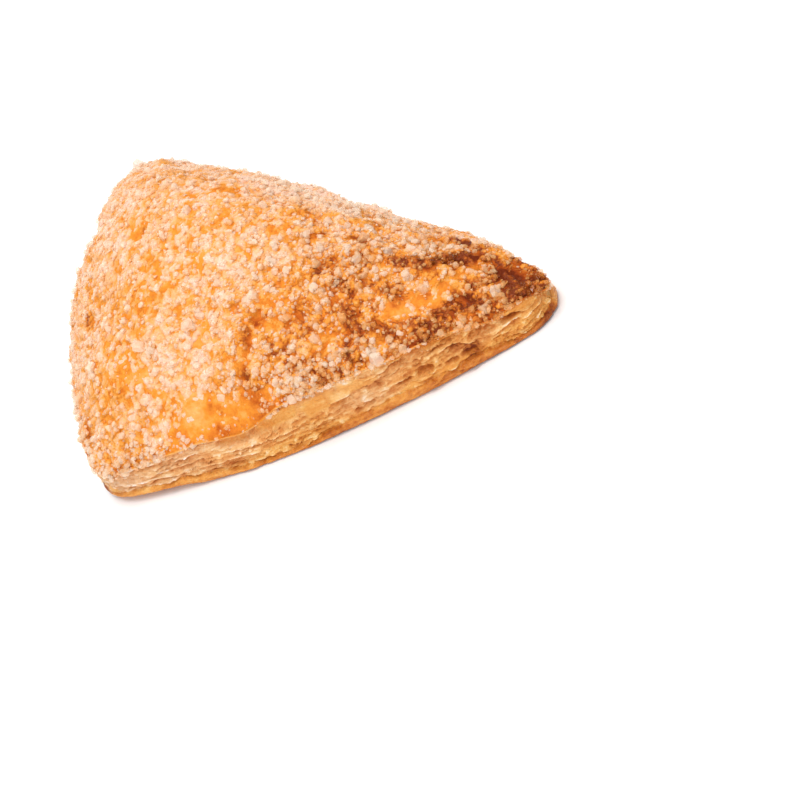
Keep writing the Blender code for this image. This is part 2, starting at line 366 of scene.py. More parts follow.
def solid_piece(name, places, corners, smooth=True, **attributes):
    """A mesh object from an array of places and an array of triangles, with named values."""
    mesh = bpy.data.meshes.new(name)
    mesh.vertices.add(len(places))
    mesh.vertices.foreach_set("co", places.astype(np.float32).ravel())
    mesh.loops.add(corners.size)
    mesh.loops.foreach_set("vertex_index", corners.astype(np.int32).ravel())
    mesh.polygons.add(len(corners))
    mesh.polygons.foreach_set("loop_start", np.arange(len(corners), dtype=np.int32) * 3)
    mesh.polygons.foreach_set("use_smooth", np.full(len(corners), smooth))
    for label, values in attributes.items():
        layer = mesh.attributes.new(label, "FLOAT", "POINT")
        layer.data.foreach_set("value", values.astype(np.float32).ravel())
    mesh.update(calc_edges=True)
    piece = bpy.data.objects.new(name, mesh)
    bpy.context.scene.collection.objects.link(piece)
    return piece


# One point closes the skin at the peak and one in the middle of the base
crown = skin[0].mean(axis=0)
centre = np.array((*middle, 0.0))
crown_number = len(skin) * AROUND
centre_number = crown_number + 1
first_ring = np.arange(AROUND)
turned_ring = (first_ring + 1) % AROUND
last_ring = crown_number - AROUND
fan_top = np.column_stack((np.full(AROUND, crown_number), first_ring, turned_ring))
fan_base = np.column_stack((np.full(AROUND, centre_number), last_ring + turned_ring,
                            last_ring + first_ring))
crust = solid_piece(
    "crust",
    np.vstack((skin.reshape(-1, 3), crown, centre)),
    np.vstack((ring_faces(len(skin), AROUND), fan_top, fan_base)),
    toast=np.append(skin_toast, (skin_toast[0].mean(), skin_toast[-1].mean())),
    bare=np.append(skin_bare, (skin_bare[0].mean(), 1.0)),
)


class Wire:
    """A socket of a finish's nodes.  Arithmetic on it adds Math nodes."""

    def __init__(self, finish, socket):
        self.finish = finish
        self.socket = socket

    def maths(self, operation, first, second):
        """The two values joined by the operation of a Math node."""
        return self.finish.node("ShaderNodeMath", {"operation": operation}, {0: first, 1: second})

    def __add__(self, other):
        return self.maths("ADD", self, other)

    def __radd__(self, other):
        return self.maths("ADD", other, self)

    def __sub__(self, other):
        return self.maths("SUBTRACT", self, other)

    def __rsub__(self, other):
        return self.maths("SUBTRACT", other, self)

    def __mul__(self, other):
        return self.maths("MULTIPLY", self, other)

    def __rmul__(self, other):
        return self.maths("MULTIPLY", other, self)


class Finish:
    """A material in the making: its nodes and its Principled shader, with the constants on it."""

    def __init__(self, name, **constants):
        self.material = bpy.data.materials.new(name)
        self.material.use_nodes = True
        self.tree = self.material.node_tree
        self.shader = self.tree.nodes["Principled BSDF"]
        for label, value in constants.items():
            self.shader.inputs[label.replace("_", " ")].default_value = value

    def node(self, kind, settings=None, inputs=None, output=0):
        """A node of the kind: its settings are set first, then its sockets' values or links."""
        made = self.tree.nodes.new(kind)
        for label, value in (settings or {}).items():
            setattr(made, label, value)
        for label, value in (inputs or {}).items():
            self.feed(made.inputs[label], value)
        return Wire(self, made.outputs[output])

    def feed(self, socket, value):
        """A link to the socket from a wire, or else a constant on it."""
        if isinstance(value, Wire):
            self.tree.links.new(value.socket, socket)
        else:
            socket.default_value = value

    def attribute(self, label):
        """The mesh's own value of that name."""
        return self.node("ShaderNodeAttribute", {"attribute_name": label}, output="Fac")

    def place(self):
        """Object coordinates, in metres."""
        return self.node("ShaderNodeTexCoord", output="Object")

    def speckle(self, size, detail=2.0, roughness=0.5):
        """Noise between 0 and 1 whose grains measure about the size, in metres."""
        inputs = {
            "Vector": self.place(), "Scale": 1.0 / size, "Detail": detail, "Roughness": roughness,
        }
        return self.node("ShaderNodeTexNoise", inputs=inputs, output="Fac")

    def shades(self, value, stops):
        """The value turned to a colour by a ramp of (position, colour) stops."""
        ramp = self.node("ShaderNodeValToRGB", inputs={"Fac": value}, output="Color")
        elements = ramp.socket.node.color_ramp.elements
        while len(elements) < len(stops):
            elements.new(1.0)
        for element, (position, colour) in zip(elements, stops):
            element.position = position
            element.color = (*colour, 1.0)
        return ramp

    def blended(self, share, first, second):
        """Two colours mixed by the share.  A Mix node's colour sockets are numbers 6 and 7."""
        settings = {"data_type": "RGBA", "clamp_factor": True}
        return self.node("ShaderNodeMix", settings, {0: share, 6: first, 7: second}, output=2)

    def raised(self, height, distance, strength=1.0):
        """Normals of the height, which counts for the distance in metres."""
        inputs = {"Height": height, "Distance": distance, "Strength": strength}
        return self.node("ShaderNodeBump", inputs=inputs, output="Normal")

    def wear(self, **sockets):
        """Links wires to the shader's sockets."""
        for label, wire in sockets.items():
            self.feed(self.shader.inputs[label.replace("_", " ")], wire)
        return self.material


# Washed dough from hardly baked to burnt, by how browned it is
TOASTING = (
    (0.00, (0.82, 0.52, 0.25)),
    (0.22, (0.80, 0.40, 0.12)),
    (0.42, (0.76, 0.26, 0.028)),
    (0.55, (0.64, 0.18, 0.018)),
    (0.68, (0.48, 0.100, 0.008)),
    (0.84, (0.28, 0.041, 0.003)),
    (1.00, (0.14, 0.018, 0.002)),
)
baked = Finish("baked_crust", Specular_IOR_Level=0.08)
mottle = (baked.speckle(0.0022) - 0.5) * 0.45 + (baked.speckle(0.0007) - 0.5) * 0.25
browning = baked.attribute("toast") + mottle - 0.08 * baked.attribute("bare")
baked_colour = baked.shades(browning, TOASTING)
fine = baked.speckle(0.0007, 3.0, 0.6)
crust.data.materials.append(baked.wear(
    Base_Color=baked_colour,
    Roughness=0.62 - 0.25 * baked.attribute("bare") + 0.2 * (fine - 0.5),
    Normal=baked.raised(fine, 0.0005, 0.8),
))
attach(crust, "root")
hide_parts("turnover")

# ---------------------------------------------------------------------------------------------
# The leaves.  Each cut side shows the laminated dough edge on: a wall of thin ragged leaves that
# stick together here and gape there, with blown smooth windows under the rim, pockets and ledges.
# It is a relief over the wall, on a grid of steps along the cut sides and rows up them.

ALONG = 1400
ROWS = 100
RUN_ON = 16.0 * mm                       # the leaves run this far round the ends of the fold
first_step = LEFT_END - RUN_ON / outline_step
last_step = RIGHT_END + RUN_ON / outline_step
path_step = np.linspace(first_step, last_step, ALONG)


def along_path(values):
    """Values given round the outline, read at the steps of the leaves' path."""
    steps = np.arange(-AROUND, 2 * AROUND)
    wrapped = np.concatenate((values, values, values))
    if wrapped.ndim == 1:
        return np.interp(path_step, steps, wrapped)
    return np.column_stack([np.interp(path_step, steps, column) for column in wrapped.T])


path = along_path(outline)
path_out = unit(along_path(outwards))
path_height = along_path(rim_height)[:, None]
path_lip = along_path(lip)[:, None]
path_lift = along_path(lift[DOME_RINGS])[:, None]
path_browning = along_path(lip_browning)[:, None]
path_fold = along_path(fold)[:, None]
path_inset = along_path(rim_inset)[:, None]
path_corner = along_path(at_corner)[:, None]
travel = ((path_step - APEX) * outline_step)[:, None]   # along the cut sides, from the apex

wall_foot = path_lift + 0.08 * mm
wall_top_z = path_height - 0.85 * EAVE
wall_z = wall_foot + (wall_top_z - wall_foot) * np.linspace(0.0, 1.0, ROWS)
zero = np.zeros(wall_z.shape)
side_mm = travel / mm + zero             # the wall's two coordinates, along it and up it
up_mm = wall_z / mm
share_up = wall_z / path_height
under_rim = path_height / mm - up_mm


def wall_clouds(length, height, seed, octaves=2):
    """Clouds on the wall with cells of the length and the height, in mm."""
    return clouds(np.stack((side_mm / length, up_mm / height, zero), axis=-1), 1.0, seed, octaves)


# Leaves that rise and sink along the side, and finer ones within them.  Where two part, the upper
# one's ragged lip stands out, painted pale as a highlight, over a gap painted dark as its shadow
def parted(pitch, seed):
    """How much of a lip and how much of a gap each place is, for leaves of the pitch in mm.

    A leaf's number is the height over the pitch plus slow clouds.  Above each whole number the lip
    falls off as exp(-distance / 0.3), below it the gap falls off as exp(distance / 0.2), both times
    how open the joint is at that place along the side.  Both shape the relief and the tone, where
    the lip is a painted highlight and the gap painted shade.
    """
    leaf_at = up_mm / pitch + 1.2 * wall_clouds(13.0, 7.0, seed)
    leaf_at += 0.5 * wall_clouds(4.0, 2.5, seed + 1) + 0.22 * wall_clouds(1.1, 0.9, seed + 2)
    joint = np.round(leaf_at)
    above = leaf_at - joint
    at = np.stack((side_mm / 5.0, joint * 7.3, zero), axis=-1)
    ajar = smooth_step(clouds(at, 1.0, seed + 3, 2), -0.15, 0.55)
    ragged = 1.0 + 0.6 * clouds(at * (6.0, 1.0, 1.0), 1.0, seed + 4, 2)
    out = np.where(above > 0.0, np.exp(-above / 0.3), 0.0) * ajar * ragged
    gap = np.where(above > 0.0, 0.0, np.exp(above / 0.2)) * ajar
    return out, gap


def ridges(length, height, width, seed):
    """Thin crooked lines, where clouds pass through zero, as 1 less their size over the width."""
    return np.maximum(0.0, 1.0 - np.abs(wall_clouds(length, height, seed)) / width)


strayed_t = side_mm + 0.9 * wall_clouds(3.0, 2.0, 57)
strayed_z = up_mm + 0.35 * wall_clouds(2.5, 1.5, 58)
side_start = np.where(side_mm < 0.0, -FAR_SIDE, 0.0)   # the far side repeats the near side's lists


def stroke(start, end, width, lean=0.0):
    """1 along a line on the wall and falling off round it as a bell.

    The bell's half height is the width and its half length the width / 0.6.  With a lean it falls
    off (1 + lean) times as fast below the line and (1 + lean / 2) times as slowly above it.
    """
    at = np.stack((strayed_t - side_start, strayed_z), axis=-1)
    origin = np.array(start)
    run = np.array(end) - origin
    along = np.clip((at - origin) @ run / (run @ run), 0.0, 1.0)
    off = at - origin - along[..., None] * run
    up = np.where(off[..., 1] < 0.0, off[..., 1] * (1.0 + lean), off[..., 1] / (1.0 + 0.5 * lean))
    return np.exp(-((off[..., 0] * 0.6) ** 2 + up ** 2) / width ** 2)


# Smooth windows blown in the dough: from, to and half width in mm, depth in mm and tone.  The deep
# ones just under the rim are a little darker, painted as the rim's shade
WINDOWS = (
    ((41.5, 8.6), (47.5, 8.8), 1.7, 0.9, 0.02), ((53.0, 8.0), (57.0, 8.2), 2.0, 0.5, 0.00),
    ((33.0, 7.7), (36.5, 7.7), 0.8, 1.0, -0.04), ((61.0, 9.0), (66.0, 8.4), 1.2, 0.3, 0.03),
    ((79.0, 9.8), (87.0, 9.6), 1.0, 0.9, -0.06), ((97.0, 7.4), (103.0, 6.6), 1.2, -0.5, 0.06),
    ((71.5, 10.2), (76.5, 10.2), 1.0, 0.9, -0.06), ((80.0, 3.0), (72.0, 2.9), 0.6, 0.0, 0.02),
)
# Ledges whose thin edge overhangs, painted pale as a highlight over a painted shadow: from, to, how
# far it stands out, in mm
LEDGES = (
    ((27.0, 4.2), (38.0, 3.8), 0.8), ((39.5, 5.1), (48.0, 5.2), 0.7), ((33.5, 5.5), (39.5, 5.4), 0.6),
    ((30.5, 8.7), (38.0, 8.8), 0.7), ((39.0, 9.6), (46.0, 10.9), 0.9), ((46.0, 10.9), (50.0, 11.3), 0.6),
    ((42.0, 3.7), (46.0, 4.4), 0.5), ((70.5, 9.1), (73.0, 9.4), 0.6), ((79.0, 8.6), (86.0, 8.9), 0.7),
    ((74.0, 3.2), (78.0, 3.4), 0.6), ((98.0, 7.7), (102.0, 7.6), 0.4), ((99.0, 4.2), (105.0, 4.4), 0.6),
    ((57.0, 7.3), (60.5, 7.7), 0.6), ((65.5, 9.0), (69.5, 8.8), 0.8), ((69.0, 5.3), (72.5, 5.2), 0.5),
    ((8.0, 7.6), (19.0, 8.2), 0.3), ((12.0, 5.4), (23.0, 5.8), 0.4), ((3.0, 4.4), (20.0, 4.0), 0.3),
    ((51.0, 4.2), (56.0, 4.0), 0.4), ((81.0, 6.4), (84.0, 7.2), 0.5), ((84.5, 6.9), (87.5, 5.4), 0.7),
    ((91.0, 4.6), (97.0, 4.6), 0.5), ((75.5, 1.2), (81.0, 2.2), 0.5), ((81.0, 2.2), (85.0, 1.0), 0.5),
    ((20.0, 7.3), (24.5, 7.6), 0.4), ((24.0, 9.6), (28.0, 9.4), 0.4),
)
# Pockets, blobs and flat darker patches: from, to, half width, how far it stands out, in mm, and its
# tone.  The pockets and cracks that sink in are darker, partly browner dough and partly painted shade
MARKS = (
    ((61.0, 3.4), (61.6, 3.2), 0.45, -1.0, -0.30), ((63.2, 3.7), (64.0, 3.4), 0.45, -1.0, -0.30),
    ((70.5, 4.7), (72.5, 4.7), 0.40, -0.9, -0.25), ((75.0, 4.9), (77.3, 5.0), 0.50, -1.2, -0.30),
    ((85.0, 6.2), (86.5, 4.2), 1.10, -1.2, -0.34), ((81.3, 3.9), (83.2, 4.1), 0.35, -0.8, -0.34),
    ((85.5, 3.5), (88.5, 2.9), 0.50, -0.8, -0.36), ((88.9, 6.5), (91.0, 6.1), 0.60, -1.3, -0.16),
    ((92.4, 7.7), (92.8, 7.2), 0.50, -0.8, -0.24), ((95.0, 5.7), (97.2, 5.5), 0.60, -1.0, -0.16),
    ((66.6, 6.7), (67.2, 6.4), 0.45, -0.5, -0.22), ((94.2, 1.9), (96.0, 1.8), 0.30, -0.5, -0.30),
    ((76.0, 7.6), (76.6, 7.6), 0.30, -0.4, -0.25), ((97.5, 5.4), (98.8, 5.1), 0.25, -0.4, -0.30),
    ((23.0, 5.4), (26.0, 5.4), 0.22, -0.4, -0.22), ((26.0, 5.4), (27.6, 4.4), 0.22, -0.4, -0.22),
    ((30.0, 2.1), (32.6, 2.2), 0.25, -0.5, -0.30), ((44.0, 1.7), (46.0, 1.6), 0.28, -0.5, -0.34),
    ((46.6, 2.4), (48.6, 2.3), 0.25, -0.4, -0.28), ((49.5, 2.6), (52.0, 2.5), 0.30, -0.4, -0.20),
    ((31.2, 7.6), (31.8, 7.8), 0.30, -0.3, -0.16), ((88.7, 9.0), (90.5, 9.1), 0.25, -0.3, -0.34),
    ((88.4, 7.9), (90.8, 7.4), 0.55, 0.7, 0.14), ((86.2, 2.4), (83.5, 2.0), 0.80, -0.2, -0.20),
    ((22.3, 7.7), (24.2, 7.9), 0.45, 0.2, 0.20), ((26.5, 7.0), (28.5, 7.3), 0.80, 0.2, 0.12),
    ((35.5, 6.1), (39.0, 6.3), 0.55, 0.4, 0.18), ((30.6, 6.7), (32.0, 6.9), 0.60, 0.3, 0.12),
    ((33.3, 1.2), (36.0, 1.2), 0.70, 0.4, 0.18), ((28.5, 1.7), (31.5, 1.4), 0.50, 0.3, 0.12),
    ((39.5, 1.1), (43.5, 1.0), 0.55, 0.3, 0.14), ((61.5, 11.3), (62.5, 10.4), 1.10, 0.6, 0.24),
    ((58.3, 8.6), (59.5, 8.0), 0.80, 0.4, 0.20), ((66.3, 10.8), (68.0, 10.2), 0.90, 0.5, 0.18),
    ((63.6, 5.1), (63.2, 6.3), 0.50, 0.6, 0.40), ((58.3, 6.2), (59.6, 5.9), 0.60, 0.3, 0.14),
    ((78.3, 7.4), (79.2, 7.2), 0.65, 0.7, 0.32), ((79.1, 5.8), (79.1, 5.2), 0.45, 0.5, 0.28),
    ((87.9, 7.2), (88.1, 6.7), 0.50, 0.5, 0.26), ((93.2, 7.2), (93.8, 5.4), 0.60, 0.3, 0.20),
    ((17.4, 4.9), (18.2, 4.6), 0.60, 0.2, 0.16), ((106.0, 3.1), (107.5, 2.8), 0.80, 0.4, 0.22),
    ((76.8, 10.9), (77.2, 10.4), 0.60, 0.5, 0.24), ((82.0, 7.6), (85.0, 7.8), 0.80, 0.2, 0.10),
    ((1.0, 6.3), (4.0, 6.4), 0.60, 0.0, -0.22), ((6.0, 8.3), (11.0, 9.3), 0.80, 0.0, -0.20),
    ((6.0, 6.0), (10.0, 6.4), 0.60, 0.0, -0.10), ((50.0, 11.2), (60.0, 11.6), 0.60, -0.6, -0.10),
    ((6.5, 2.9), (15.0, 3.4), 0.22, -0.4, -0.30), ((15.0, 3.4), (22.0, 3.5), 0.20, -0.3, -0.16),
)
# What the wall's dough is like: parted leaves, or torn crumb with holes, and pale flecks on it
lit_lips, shaded_gaps = parted(0.85, 51)
fine_lit_lips, fine_shaded_gaps = parted(0.38, 56)
plies = smooth_step(wall_clouds(9.0, 3.0, 61), 0.35, -0.25)     # where it is layered, not torn
plies = np.maximum(plies, smooth_step(np.abs(side_mm), 38.0, 24.0))
torn = ridges(2.6, 1.5, 0.22, 66)
holes = ridges(1.7, 1.1, 0.30, 67) * smooth_step(wall_clouds(4.0, 2.0, 68), -0.1, 0.6)
crumb = 0.6 * wall_clouds(0.8, 0.5, 69, 3) + 0.4 * wall_clouds(2.0, 1.2, 70)
flecks = smooth_step(wall_clouds(1.3, 0.6, 76), 0.40, 0.75)
# The bottom skin: where it is, its rounded face and the seam over it, dented and painted dark as its
# shade
wavy_lip = path_lip / mm + 0.35 * wall_clouds(3.0, 50.0, 74)
bottom = smooth_step(up_mm, wavy_lip + 0.12, wavy_lip - 0.12)
middle_z = (wavy_lip + wall_foot / mm) / 2.0
bulge = np.sqrt(np.clip(1.0 - ((up_mm - middle_z) / (wavy_lip - middle_z)) ** 2, 0.0, 1.0))
shaded_seam = np.exp(-((up_mm - wavy_lip - 0.18) / 0.16) ** 2)
shaded_seam *= smooth_step(wall_clouds(4.0, 50.0, 75), -0.3, 0.3)
# How far out the wall stands, in mm, and its tone from dark to pale
coarse_share = 0.35 + 0.65 * plies
torn_share = 1.0 - 0.7 * plies
relief = (0.55 * lit_lips - 0.50 * shaded_gaps) * coarse_share + (0.16 * fine_lit_lips - 0.14 * fine_shaded_gaps) * plies
relief += (0.30 * torn - 0.30 * holes + 0.10 * crumb) * torn_share + 0.12 * crumb + 0.15 * flecks
relief += 0.25 * wall_clouds(6.0, 3.0, 71)
relief -= 0.7 * smooth_step(under_rim, 3.2, 1.0) * smooth_step(np.abs(side_mm), 18.0, 32.0)
streaks = wall_clouds(5.0, 0.35, 72, 3)
# Its tone: streaks and pale flecks are the dough's own; the rest follows the relief as painted light,
# lips, torn ridges and raised crumb paler as a highlight, gaps and holes darker as shade
tone = 0.49 + 0.07 * smooth_step(np.abs(side_mm), 30.0, 15.0) + 0.06 * wall_clouds(9.0, 2.5, 73)
tone += 0.10 * streaks + 0.15 * crumb + 0.18 * flecks
tone += (0.16 * lit_lips - 0.20 * shaded_gaps) * coarse_share + (0.08 * fine_lit_lips - 0.08 * fine_shaded_gaps) * plies
tone += (0.15 * torn - 0.12 * holes) * torn_share
relief = relief * (1.0 - bottom) + (1.15 * bulge - 0.3 + 0.12 * crumb) * bottom - 0.5 * shaded_seam
smooth_part = np.zeros(side_mm.shape)    # where the dough is blown smooth
for start, end, width, depth, shade in WINDOWS:
    shape = stroke(start, end, width)
    blown = smooth_step(shape, 0.25, 0.7)
    smooth_part = np.maximum(smooth_part, blown)
    relief = relief * (1.0 - 0.8 * blown) - depth * shape
    tone = tone + shade * shape - 0.6 * (tone - 0.52) * blown
LEDGE_DEEP = 0.45                        # in mm: a ledge's own height, and its shadow's below it
for start, end, out in LEDGES:
    shelf = stroke(start, end, LEDGE_DEEP, 4.0)
    shadow = stroke((start[0], start[1] - LEDGE_DEEP), (end[0], end[1] - LEDGE_DEEP), 0.30)
    relief += out * shelf - 0.35 * out * shadow
    # Paler along the edge, a painted highlight, and darker in the painted shadow under it
    tone += 0.20 * stroke(start, end, 0.20, 1.0) - 0.12 * shadow
for start, end, width, out, shade in MARKS:
    shape = stroke(start, end, width)
    relief += out * shape
    tone += 0.75 * shade * shape
lip_tone = 0.78 - 1.05 * path_browning + 0.07 * wall_clouds(4.0, 1.0, 77) + 0.07 * crumb
lip_tone += 0.05 * streaks
# Darker in its lowest 0.7 mm: a browner foot and painted shade where it meets the floor
lip_tone -= 0.18 * smooth_step(up_mm, wall_foot / mm + 0.7, wall_foot / mm)
tone -= 0.06 * smooth_step(np.abs(side_mm), 62.0, 80.0)
tone = tone * (1.0 - bottom) + (lip_tone + 0.3 * (tone - 0.5)) * bottom - 0.24 * shaded_seam
relief = np.clip(relief, -2.3, 1.4) * (1.0 - 0.6 * path_corner) * (1.0 - 0.8 * path_fold)
# Where the leaves are golden, as towards the ends and the bottom, and not beige, as at the apex
gold = 0.42 + 0.25 * wall_clouds(12.0, 4.0, 65) + 0.35 * smooth_part + 0.6 * bottom
gold -= 0.15 * smooth_step(np.abs(side_mm), 32.0, 24.0) + 0.3 * smooth_step(tone, 0.72, 0.9)
gold += 0.30 * smooth_step(np.abs(side_mm), 28.0, 45.0)
gold += 0.25 * smooth_step(np.abs(side_mm), 65.0, 80.0) + 0.35 * smooth_step(up_mm, 4.0, 1.0)

path_end = along_path(near_end)[:, None] / mm
FACE_IN = 0.45 * mm                      # the mean face stands this far inside the outline
UNDER_FOLD = 4.5 * mm                    # round the fold's ends the wall dives under the crust
stand = relief * mm - FACE_IN - path_inset * share_up
stand -= END_DRAWN_IN * smooth_step(path_end, 11.0, 3.0)
stand = stand * (1.0 - path_fold) - UNDER_FOLD * path_fold
front = np.dstack((path[:, None] + path_out[:, None] * stand[..., None], wall_z))
BACK = 4.3 * mm                          # the wall's hidden back, behind the crust's own


def wall_piece(name, chosen):
    """The chosen steps of the wall as a closed piece: its rows in front and two points behind."""
    inside = path + path_out * (-BACK - UNDER_FOLD * path_fold)
    behind = np.stack((np.hstack((inside, wall_top_z)), np.hstack((inside, wall_foot))), axis=1)
    places = np.concatenate((front[chosen], behind[chosen]), axis=1)
    steps, around = places.shape[:2]
    faces = [ring_faces(steps, around)]
    fan = np.arange(1, around - 1)
    end = (steps - 1) * around
    faces.append(np.column_stack((fan * 0, fan, fan + 1)))
    faces.append(np.column_stack((end + fan * 0, end + fan + 1, end + fan)))
    looks = {}
    for label, values in (("tone", tone[chosen]), ("gold", gold[chosen])):
        looks[label] = np.concatenate((values, values[:, -1:], values[:, :1]), axis=1).ravel()
    piece = solid_piece(name, places.reshape(-1, 3), np.concatenate(faces), **looks)
    piece.data.set_sharp_from_angle(angle=np.radians(80.0))
    return piece


# Dry dough from dark to pale by its tone: browned dough and the painted shade of gaps at the dark
# end, pale flecks and the painted highlight of lips at the pale end, where it is golden and where it
# is beige
GOLDEN = (
    (0.00, (0.20, 0.034, 0.007)),
    (0.25, (0.50, 0.140, 0.018)),
    (0.45, (0.70, 0.275, 0.050)),
    (0.62, (0.79, 0.40, 0.105)),
    (0.80, (0.86, 0.56, 0.24)),
    (1.00, (0.92, 0.74, 0.54)),
)
BEIGE = (
    (0.00, (0.28, 0.060, 0.015)),
    (0.25, (0.52, 0.19, 0.060)),
    (0.45, (0.70, 0.36, 0.165)),
    (0.62, (0.78, 0.48, 0.270)),
    (0.80, (0.86, 0.62, 0.43)),
    (1.00, (0.94, 0.81, 0.71)),
)
dry_leaf = Finish("baked_leaves", Specular_IOR_Level=0.2)
fibre = dry_leaf.speckle(0.0006, 3.0, 0.6)
leaf_tone = dry_leaf.attribute("tone") + (fibre - 0.5) * 0.22
dry_leaf.wear(
    Base_Color=dry_leaf.blended(dry_leaf.attribute("gold"), dry_leaf.shades(leaf_tone, BEIGE),
                                dry_leaf.shades(leaf_tone, GOLDEN)),
    Roughness=0.65 - 0.3 * dry_leaf.attribute("gold"),
    Normal=dry_leaf.raised(fibre, 0.0005, 0.8),
)
apex_step = int(np.argmin(np.abs(travel)))
HALVES = (("leaves_left", slice(0, apex_step + 1)), ("leaves_right", slice(apex_step, ALONG)))
for name, chosen in HALVES:
    leaves = wall_piece(name, chosen)
    leaves.data.materials.append(dry_leaf.material)
    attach(leaves, "root")

# ---------------------------------------------------------------------------------------------
# The sugar coat.  Coarse sugar is strewn thickly on the washed dough, and where it is baked into
# the wash it is a rough pale coat of crystals side by side, with browned dough in its gaps.  It is
# a height field of packed blocks, over the dome and the top of the fold, in two halves.

# The ground that is strewn: the dome and the upper part of the fold
SUGARED_RINGS = DOME_RINGS + 12
sugar_ground = skin[:SUGARED_RINGS]
sugar_normal = facing(sugar_ground)

# Lines along which the sugar lies thicker or thinner: from, to, half width in mm, and by how much
STREWN = (
    ((28.0, 20.0), (42.0, 17.0), 4.0, 0.35), ((41.0, 20.5), (44.0, 21.0), 1.5, 0.50),
    ((8.0, 27.0), (52.0, 30.0), 4.0, 0.30), ((38.0, -9.5), (45.0, -3.0), 1.7, 0.90),
    ((33.5, -14.5), (38.0, -12.5), 1.0, 0.60), ((47.0, 1.0), (51.5, 5.0), 1.3, 0.60),
    ((20.0, -26.5), (22.5, -25.0), 1.2, 0.60), ((63.5, 29.5), (65.0, 27.0), 1.5, 0.60),
    ((50.0, 27.0), (57.5, 25.5), 2.0, 0.45), ((60.0, 33.5), (60.5, 31.0), 0.8, 0.40),
    ((33.0, -15.0), (21.0, -20.5), 2.0, -0.75), ((-8.0, -24.0), (16.0, -24.0), 5.0, -0.25),
    ((52.5, 12.0), (58.5, 20.0), 1.7, -0.90), ((65.0, 35.0), (72.0, 32.0), 2.2, -0.40),
    ((59.5, 31.5), (54.5, 22.5), 1.2, -0.80), ((60.5, 29.0), (59.5, 22.5), 1.0, -0.70),
    ((29.4, 0.0), (30.4, -10.5), 0.6, -0.70), ((8.5, 15.5), (12.5, 12.5), 0.9, -0.60),
    ((20.0, 7.0), (22.5, 8.0), 1.0, -0.50), ((-14.0, 5.0), (-9.0, 3.0), 1.3, -0.60),
    ((4.5, 18.5), (9.0, 19.0), 0.9, -0.60), ((3.0, -22.0), (4.5, -21.0), 1.5, -0.50),
)
MOST_COVER = 1.2
cover = 0.98 + 0.24 * clouds(sugar_ground, 7.0 * mm, 71, 2)
for start, end, width, amount in STREWN:
    cover += amount * streak(sugar_ground, start, end, width)
cover = np.clip(cover, 0.0, MOST_COVER)
# It thins out where the rim is bare, next to the apex, and down the fold
fold_rings = SUGARED_RINGS - DOME_RINGS - 1
bare_rim = smooth_step(from_apex, 16.0, 24.0) * smooth_step(from_apex, 52.0, 46.0)
cover[DOME_RINGS - 8:] *= 1.0 - 0.75 * bare_rim
cover[DOME_RINGS + 1:] *= fold * np.linspace(1.0, 0.25, fold_rings)[:, None]


def packed_blocks(places, size, seed):
    """Heights and tones of crystals packed side by side, as seen at each place.

    Every cell of a cubic lattice of the size holds one rounded block at a chance place and turn.
    Its height is a chance level times 1 less the sum of the fourth powers of the place's distances
    from its middle, in half widths.  The highest block near by counts, and its own tone with it.
    """
    kinds = 1024
    draw = np.random.default_rng(seed)
    middles = draw.random((kinds, 3))
    halves = draw.uniform(0.40, 0.80, (kinds, 3))
    levels = draw.uniform(0.55, 1.0, kinds)
    tones = draw.random(kinds)
    turns = np.linalg.qr(draw.normal(size=(kinds, 3, 3)))[0] / halves[:, :, None]
    scaled = places.reshape(-1, 3) / size + 57.3     # no lattice plane runs through the origin
    cell = np.floor(scaled).astype(np.int64)
    heights = np.zeros(len(scaled))
    shown = np.zeros(len(scaled))
    for reach in np.ndindex(3, 3, 3):
        beside = cell + reach - 1
        kind = cell_number(beside) % kinds
        away = np.einsum("nij,nj->ni", turns[kind], scaled - beside - middles[kind])
        block = (1.0 - np.sum(away ** 4, axis=-1)) * levels[kind]
        higher = block > heights
        heights[higher] = block[higher]
        shown[higher] = tones[kind][higher]
    return heights.reshape(places.shape[:-1]), shown.reshape(places.shape[:-1])


# The coat's grid, dropped on to the skin from above: where it is found, which face it struck and
# at what place
COAT_STEP = 0.206 * mm
COATED_RINGS = DOME_RINGS + 8
skin_corners = ring_faces(COATED_RINGS, AROUND)
skin_tree = BVHTree.FromPolygons(skin[:COATED_RINGS].reshape(-1, 3).tolist(), skin_corners.tolist())
columns = np.arange(foot.x, summit.x, COAT_STEP)
rows = np.arange(foot.y, summit.y, COAT_STEP)
grid = np.stack(np.meshgrid(columns, rows, indexing="ij"), axis=-1)
hits = [skin_tree.ray_cast((x, y, 1.0), (0.0, 0.0, -1.0)) for x, y in grid.reshape(-1, 2).tolist()]
found = np.array([hit[2] is not None for hit in hits]).reshape(grid.shape[:2])
struck = np.array([hit[2] or 0 for hit in hits])
coat_ground = np.array([hit[0] or (0.0, 0.0, 0.0) for hit in hits]).reshape(*found.shape, 3)


def under_coat(values):
    """Values of the skin's points read at the coat's grid, as the mean of the face below."""
    return values.reshape(-1)[skin_corners[struck]].mean(axis=1).reshape(found.shape)


coat_cover = under_coat(cover[:COATED_RINGS])
coat_toast = under_coat(skin_toast[:COATED_RINGS])
coat_up = np.stack([under_coat(sugar_normal[:COATED_RINGS, :, axis]) for axis in range(3)], axis=-1)

# Where it ends: at the rim, sooner where the rim is bare, and raggedly some rings down the fold
ragged_ring = np.arange(float(COATED_RINGS))[:, None] - 5.0 * fold + 3.5 * bare_rim
ragged_ring = ragged_ring + clouds(skin[:COATED_RINGS], 2.5 * mm, 72) * fold
coat_end = smooth_step(under_coat(ragged_ring), DOME_RINGS - 1.6, DOME_RINGS - 0.3)

